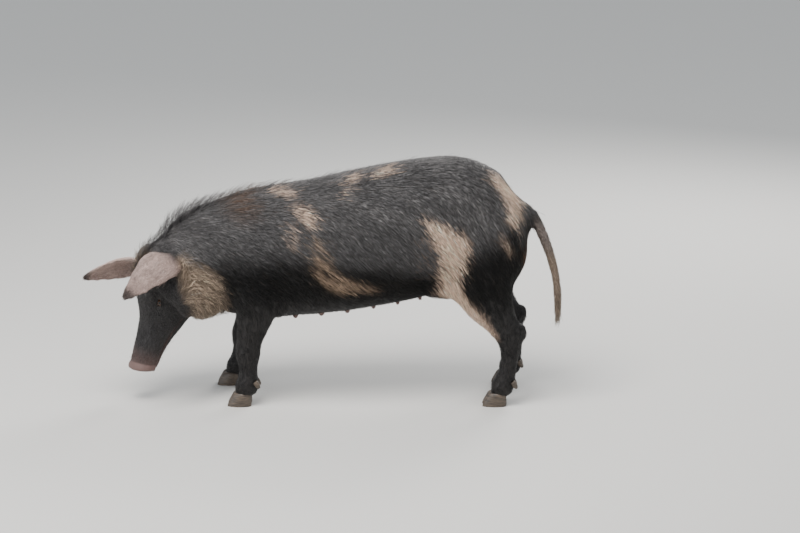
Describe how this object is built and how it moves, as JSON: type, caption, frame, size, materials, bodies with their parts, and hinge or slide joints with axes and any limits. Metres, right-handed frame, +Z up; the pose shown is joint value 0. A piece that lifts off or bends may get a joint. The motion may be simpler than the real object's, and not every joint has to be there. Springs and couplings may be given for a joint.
{
  "type": "turopolje pig, life-size still model",
  "caption": "Life-size still model of a lop-eared bristly spotted pig standing with its head lowered and turned a little to its left.",
  "frame": {"origin": "centre of the bounding box, on the floor under the pig", "axes": "+X from the snout towards the tail, -Y the pig's left side, +Z up"},
  "size_m": [1.2872, 0.39, 0.6761],
  "materials": {
    "coat": "charcoal bristles over dark skin, with tan patches",
    "ear_skin": "thin greyish pink skin with sparse hair",
    "tail_coat": "sparse hair over pinkish grey skin, dark tuft",
    "horn": "dull dark horn",
    "eye": "wet dark brown"
  },
  "bodies": {
    "root": {"torso": "coat", "neck": "coat", "head": "coat", "eye_left": "eye", "eye_right": "eye", "ear_left": "ear_skin", "ear_right": "ear_skin", "tail": "tail_coat", "foreleg_left": "coat", "claw_foreleg_left_inner": "horn", "dewclaw_foreleg_left_inner": "horn", "claw_foreleg_left_outer": "horn", "dewclaw_foreleg_left_outer": "horn", "hindleg_left": "coat", "thigh_left": "coat", "claw_hindleg_left_inner": "horn", "dewclaw_hindleg_left_inner": "horn", "claw_hindleg_left_outer": "horn", "dewclaw_hindleg_left_outer": "horn", "foreleg_right": "coat", "claw_foreleg_right_inner": "horn", "dewclaw_foreleg_right_inner": "horn", "claw_foreleg_right_outer": "horn", "dewclaw_foreleg_right_outer": "horn", "hindleg_right": "coat", "thigh_right": "coat", "claw_hindleg_right_inner": "horn", "dewclaw_hindleg_right_inner": "horn", "claw_hindleg_right_outer": "horn", "dewclaw_hindleg_right_outer": "horn"}
  },
  "joints": []
}
